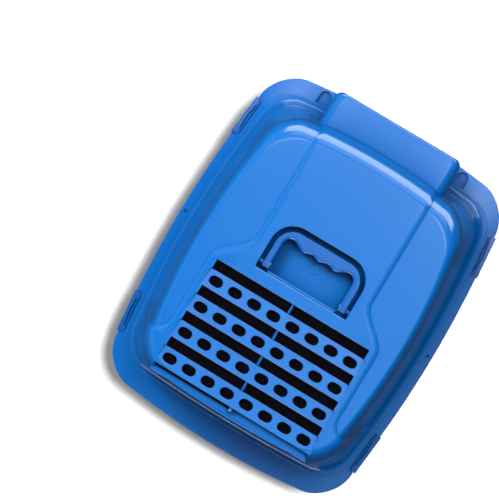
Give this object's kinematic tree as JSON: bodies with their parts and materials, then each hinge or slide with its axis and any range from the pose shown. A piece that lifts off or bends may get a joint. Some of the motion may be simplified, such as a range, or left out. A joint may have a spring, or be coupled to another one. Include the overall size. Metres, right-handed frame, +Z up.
{
  "type": "cat litter box with hood",
  "caption": "Hooded cat litter box: a tray under a hood with an entrance porch and flap, a folding carry handle, side clips and a roof vent grille over felt filter pads.",
  "frame": {"origin": "on the floor, under the middle of the box", "axes": "+Z up, -Y towards the entrance, +Y towards the filter end, X across"},
  "size_m": [0.4002, 0.5058, 0.3792],
  "materials": {
    "hood_blue": "glossy medium blue moulded polypropylene",
    "tray_blue": "glossy medium blue moulded polypropylene",
    "handle_blue": "glossy medium blue moulded polypropylene",
    "clip_blue": "glossy medium blue moulded polypropylene",
    "rack_blue": "satin blue moulded polypropylene",
    "filter_felt": "black activated-carbon felt",
    "flap_smoke": "translucent smoke-grey moulded plastic"
  },
  "bodies": {
    "tray": {"base_tray": "tray_blue"},
    "hood": {"hood": "hood_blue", "filter_rack": "rack_blue"},
    "handle": {"carry_handle": "handle_blue"},
    "flap": {"entrance_flap": "flap_smoke"},
    "clip_front_right": {"clip_front_right": "clip_blue"},
    "clip_front_left": {"clip_front_left": "clip_blue"},
    "clip_rear_right": {"clip_rear_right": "clip_blue"},
    "clip_rear_left": {"clip_rear_left": "clip_blue"},
    "pad_right": {"filter_pad_right": "filter_felt"},
    "pad_left": {"filter_pad_left": "filter_felt"}
  },
  "joints": [
    {"name": "hood_lift", "type": "slide", "parent": "tray", "child": "hood", "axis": [0, 0, 1], "range_m": [0, 0.25]},
    {"name": "handle_fold", "type": "hinge", "parent": "hood", "child": "handle", "pos_m": [0, 0.0018, 0.3727], "axis": [-1, 0, 0], "range_deg": [0, 95]},
    {"name": "flap_swing", "type": "hinge", "parent": "hood", "child": "flap", "pos_m": [0, -0.2298, 0.3017], "axis": [1, 0, 0], "range_deg": [-80, 80]},
    {"name": "clip_front_right_hinge", "type": "hinge", "parent": "hood", "child": "clip_front_right", "pos_m": [0.18503, -0.15827, 0.14], "axis": [-0.094, -0.9956, 0], "range_deg": [0, 100]},
    {"name": "clip_front_left_hinge", "type": "hinge", "parent": "hood", "child": "clip_front_left", "pos_m": [-0.18503, -0.15827, 0.14], "axis": [-0.094, 0.9956, 0], "range_deg": [0, 100]},
    {"name": "clip_rear_right_hinge", "type": "hinge", "parent": "hood", "child": "clip_rear_right", "pos_m": [0.18531, 0.15528, 0.14], "axis": [0.0922, -0.9957, 0], "range_deg": [0, 100]},
    {"name": "clip_rear_left_hinge", "type": "hinge", "parent": "hood", "child": "clip_rear_left", "pos_m": [-0.18531, 0.15528, 0.14], "axis": [0.0922, 0.9957, 0], "range_deg": [0, 100]},
    {"name": "pad_right_slide", "type": "slide", "parent": "hood", "child": "pad_right", "axis": [0, 1, 0], "range_m": [0, 0.17]},
    {"name": "pad_left_slide", "type": "slide", "parent": "hood", "child": "pad_left", "axis": [0, 1, 0], "range_m": [0, 0.17]}
  ]
}
